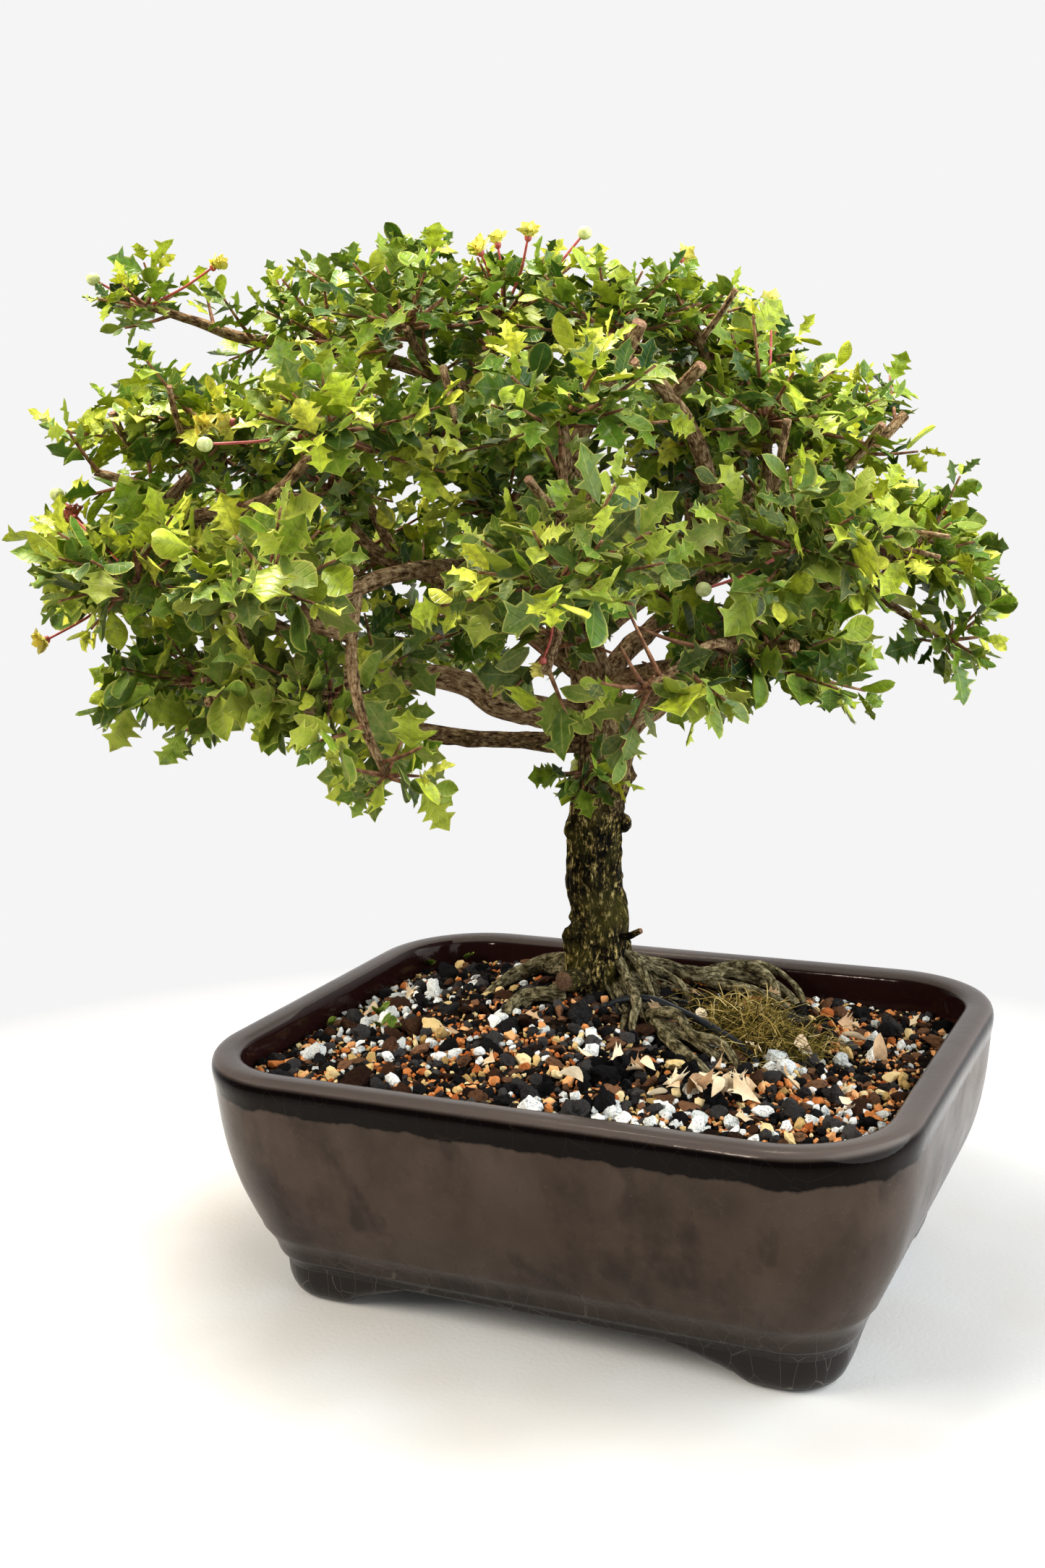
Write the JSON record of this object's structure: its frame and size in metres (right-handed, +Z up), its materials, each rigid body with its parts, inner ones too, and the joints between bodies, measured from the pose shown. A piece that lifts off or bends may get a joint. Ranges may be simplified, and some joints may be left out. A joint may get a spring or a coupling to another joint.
{
  "type": "dwarf holly bonsai in a pot",
  "caption": "Small indoor bonsai tree with a wide, dense head of toothed leaves, gnarled surface roots and a glazed rectangular pot on corner feet.",
  "frame": {"origin": "middle of the whole plant's footprint, at the level of the undersides of the pot's feet", "axes": "+X along the pot's long side towards the viewer's right, +Y to the back, +Z up"},
  "size_m": [0.2984, 0.2806, 0.3166],
  "materials": {
    "glaze": "gloss",
    "soil_mix": "matte",
    "bark": "matte",
    "leaf_green": "satin",
    "bud_yellow": "satin",
    "moss": "matte",
    "dry_leaf": "matte",
    "black_plastic": "matte"
  },
  "bodies": {
    "root": {"pot": "glaze", "drain_screen_left": "black_plastic", "drain_screen_right": "black_plastic", "soil": "soil_mix", "tree_wood": "bark", "tie_wire": "black_plastic", "moss_mat": "moss", "fallen_leaves": "dry_leaf", "spray_01": "leaf_green", "spray_02": "leaf_green", "spray_03": "leaf_green", "spray_04": "leaf_green", "spray_05": "leaf_green", "spray_06": "leaf_green", "spray_07": "leaf_green", "spray_08": "leaf_green", "spray_09": "leaf_green", "spray_10": "leaf_green", "spray_11": "leaf_green", "spray_12": "leaf_green", "spray_13": "leaf_green", "spray_14": "leaf_green", "spray_15": "leaf_green", "spray_16": "leaf_green", "spray_17": "leaf_green", "spray_18": "leaf_green", "spray_19": "leaf_green", "spray_20": "leaf_green", "spray_21": "leaf_green", "spray_22": "leaf_green", "spray_23": "leaf_green", "spray_24": "leaf_green", "spray_25": "leaf_green", "spray_26": "leaf_green", "spray_27": "leaf_green", "spray_28": "leaf_green", "spray_29": "leaf_green", "spray_30": "leaf_green", "spray_31": "leaf_green", "spray_32": "leaf_green", "spray_33": "leaf_green", "spray_34": "leaf_green", "spray_35": "leaf_green", "spray_36": "leaf_green", "spray_37": "leaf_green", "bud_1": "bud_yellow", "bud_2": "bud_yellow", "bud_3": "bud_yellow", "bud_4": "bud_yellow", "bud_5": "bud_yellow", "bud_6": "bud_yellow", "bud_7": "bud_yellow", "bud_8": "bud_yellow"}
  },
  "joints": []
}
